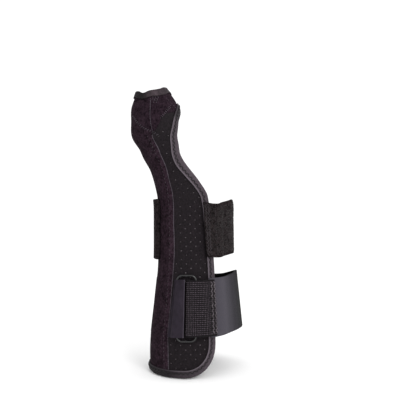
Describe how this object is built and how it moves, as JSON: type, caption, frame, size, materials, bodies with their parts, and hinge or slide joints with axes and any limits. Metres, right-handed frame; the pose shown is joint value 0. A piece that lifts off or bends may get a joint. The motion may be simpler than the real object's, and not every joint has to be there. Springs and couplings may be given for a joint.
{
  "type": "thumb spica splint",
  "caption": "Right-hand wrist splint with a thumb sleeve, a bound edge, an upper strap and a lower strap on a ring, in its worn form.",
  "frame": {"origin": "middle of the wrist hollow", "axes": "+Z along the limb towards the thumb tip, -X towards the thumb side, -Y towards the back of the hand, +Y towards the palm"},
  "size_m": [0.0958, 0.079, 0.2455],
  "materials": {
    "plush": "brushed loop plush laminated on foam",
    "perforated_laminate": "perforated foam laminate with a fine knit face",
    "sleeve_laminate": "brushed foam laminate",
    "bias_tape": "folded woven bias tape",
    "loop_strap": "loop-pile strap",
    "grey_strap": "smooth knit laminated strap",
    "webbing": "ribbed webbing",
    "tab_cloth": "smooth coated cloth",
    "ring_wire": "black enamelled steel wire"
  },
  "bodies": {
    "root": {"palm_panel": "plush", "back_panel": "perforated_laminate", "thumb_sleeve": "sleeve_laminate", "thumb_collar": "bias_tape", "edge_binding": "bias_tape", "upper_strap": "loop_strap", "lower_strap": "grey_strap", "ring_tab": "tab_cloth", "webbing": "webbing", "ring": "ring_wire"}
  },
  "joints": []
}
